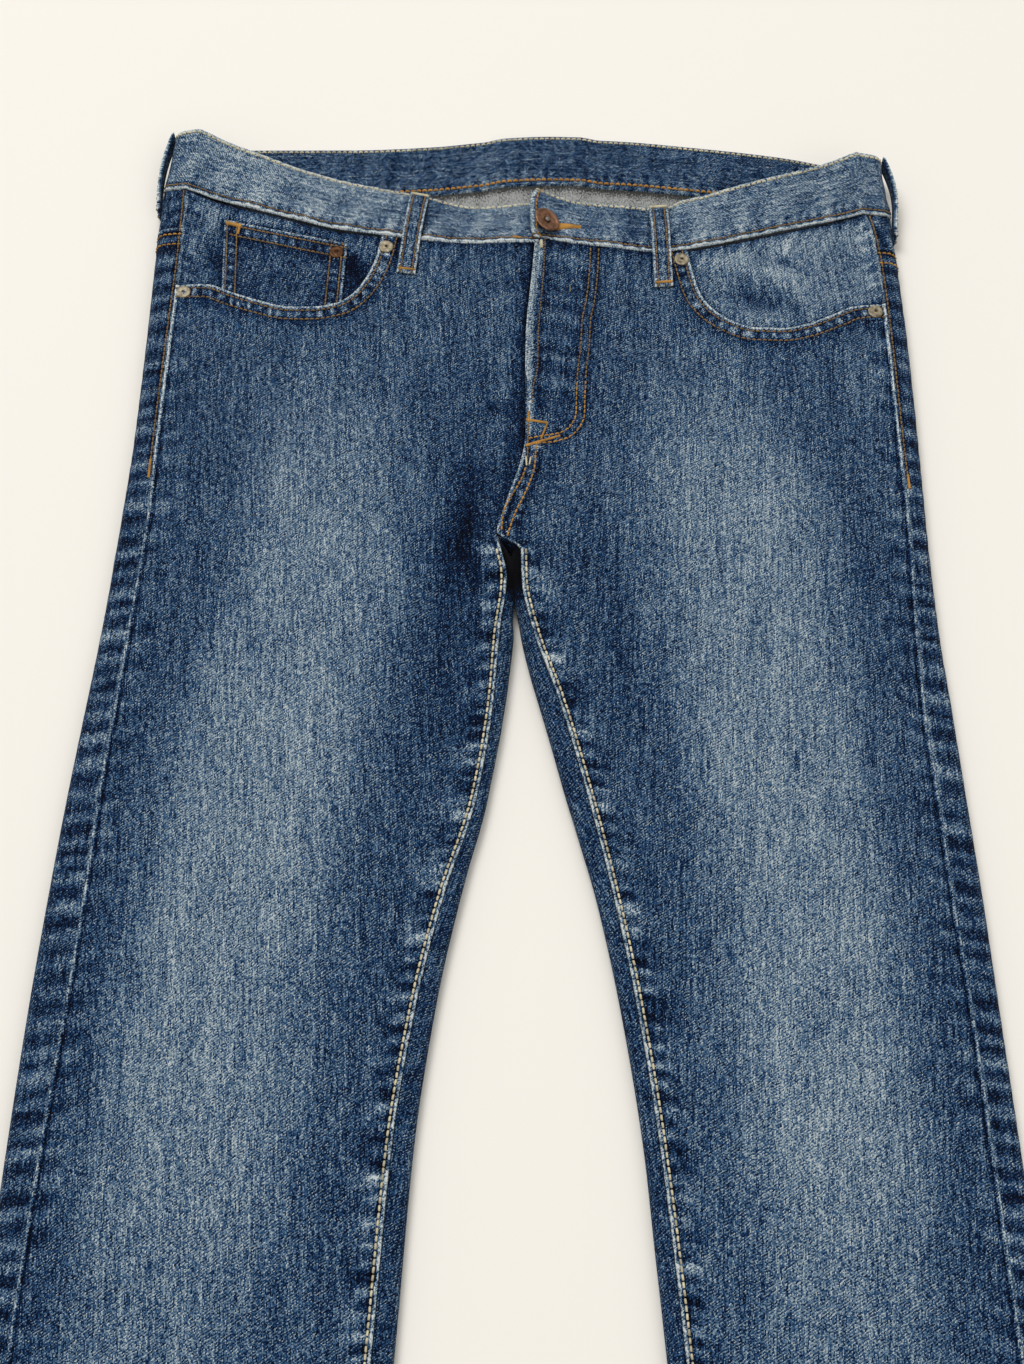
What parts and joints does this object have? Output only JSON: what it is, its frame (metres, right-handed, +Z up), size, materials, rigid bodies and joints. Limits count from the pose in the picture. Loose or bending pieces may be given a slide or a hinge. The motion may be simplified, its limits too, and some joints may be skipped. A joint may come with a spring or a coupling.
{
  "type": "slim fit jeans",
  "caption": "Slim fit denim jeans laid flat, face up: waistband with belt loops, curved front pockets, button fly, yoked back and straight narrow legs.",
  "frame": {"origin": "centre of the garment's outline on the surface that it lies on", "axes": "+Y from the hems to the waist, +Z up from the surface, +X towards the wearer's left leg"},
  "size_m": [0.546, 1.1082, 0.033],
  "materials": {
    "denim_cloth": "washed mid-blue indigo denim, a right-hand twill with pale vertical slubs",
    "button_copper": "dull antique copper",
    "rivet_copper": "dark antique copper",
    "rivet_metal": "pale antique brass, worn"
  },
  "bodies": {
    "root": {"right_front": "denim_cloth", "left_front": "denim_cloth", "right_back": "denim_cloth", "left_back": "denim_cloth", "right_yoke": "denim_cloth", "left_yoke": "denim_cloth", "right_pocket_facing": "denim_cloth", "left_pocket_facing": "denim_cloth", "coin_pocket": "denim_cloth", "fly_facing": "denim_cloth", "fly_shield": "denim_cloth", "waistband": "denim_cloth", "belt_loop_front_right": "denim_cloth", "belt_loop_front_left": "denim_cloth", "belt_loop_side_right": "denim_cloth", "belt_loop_side_left": "denim_cloth", "belt_loop_back": "denim_cloth", "back_pocket_right": "denim_cloth", "back_pocket_left": "denim_cloth", "waist_button": "button_copper", "rivet_coin_pocket": "rivet_copper", "rivet_right_outer": "rivet_metal", "rivet_right_inner": "rivet_metal", "rivet_left_inner": "rivet_metal", "rivet_left_outer": "rivet_metal"}
  },
  "joints": []
}
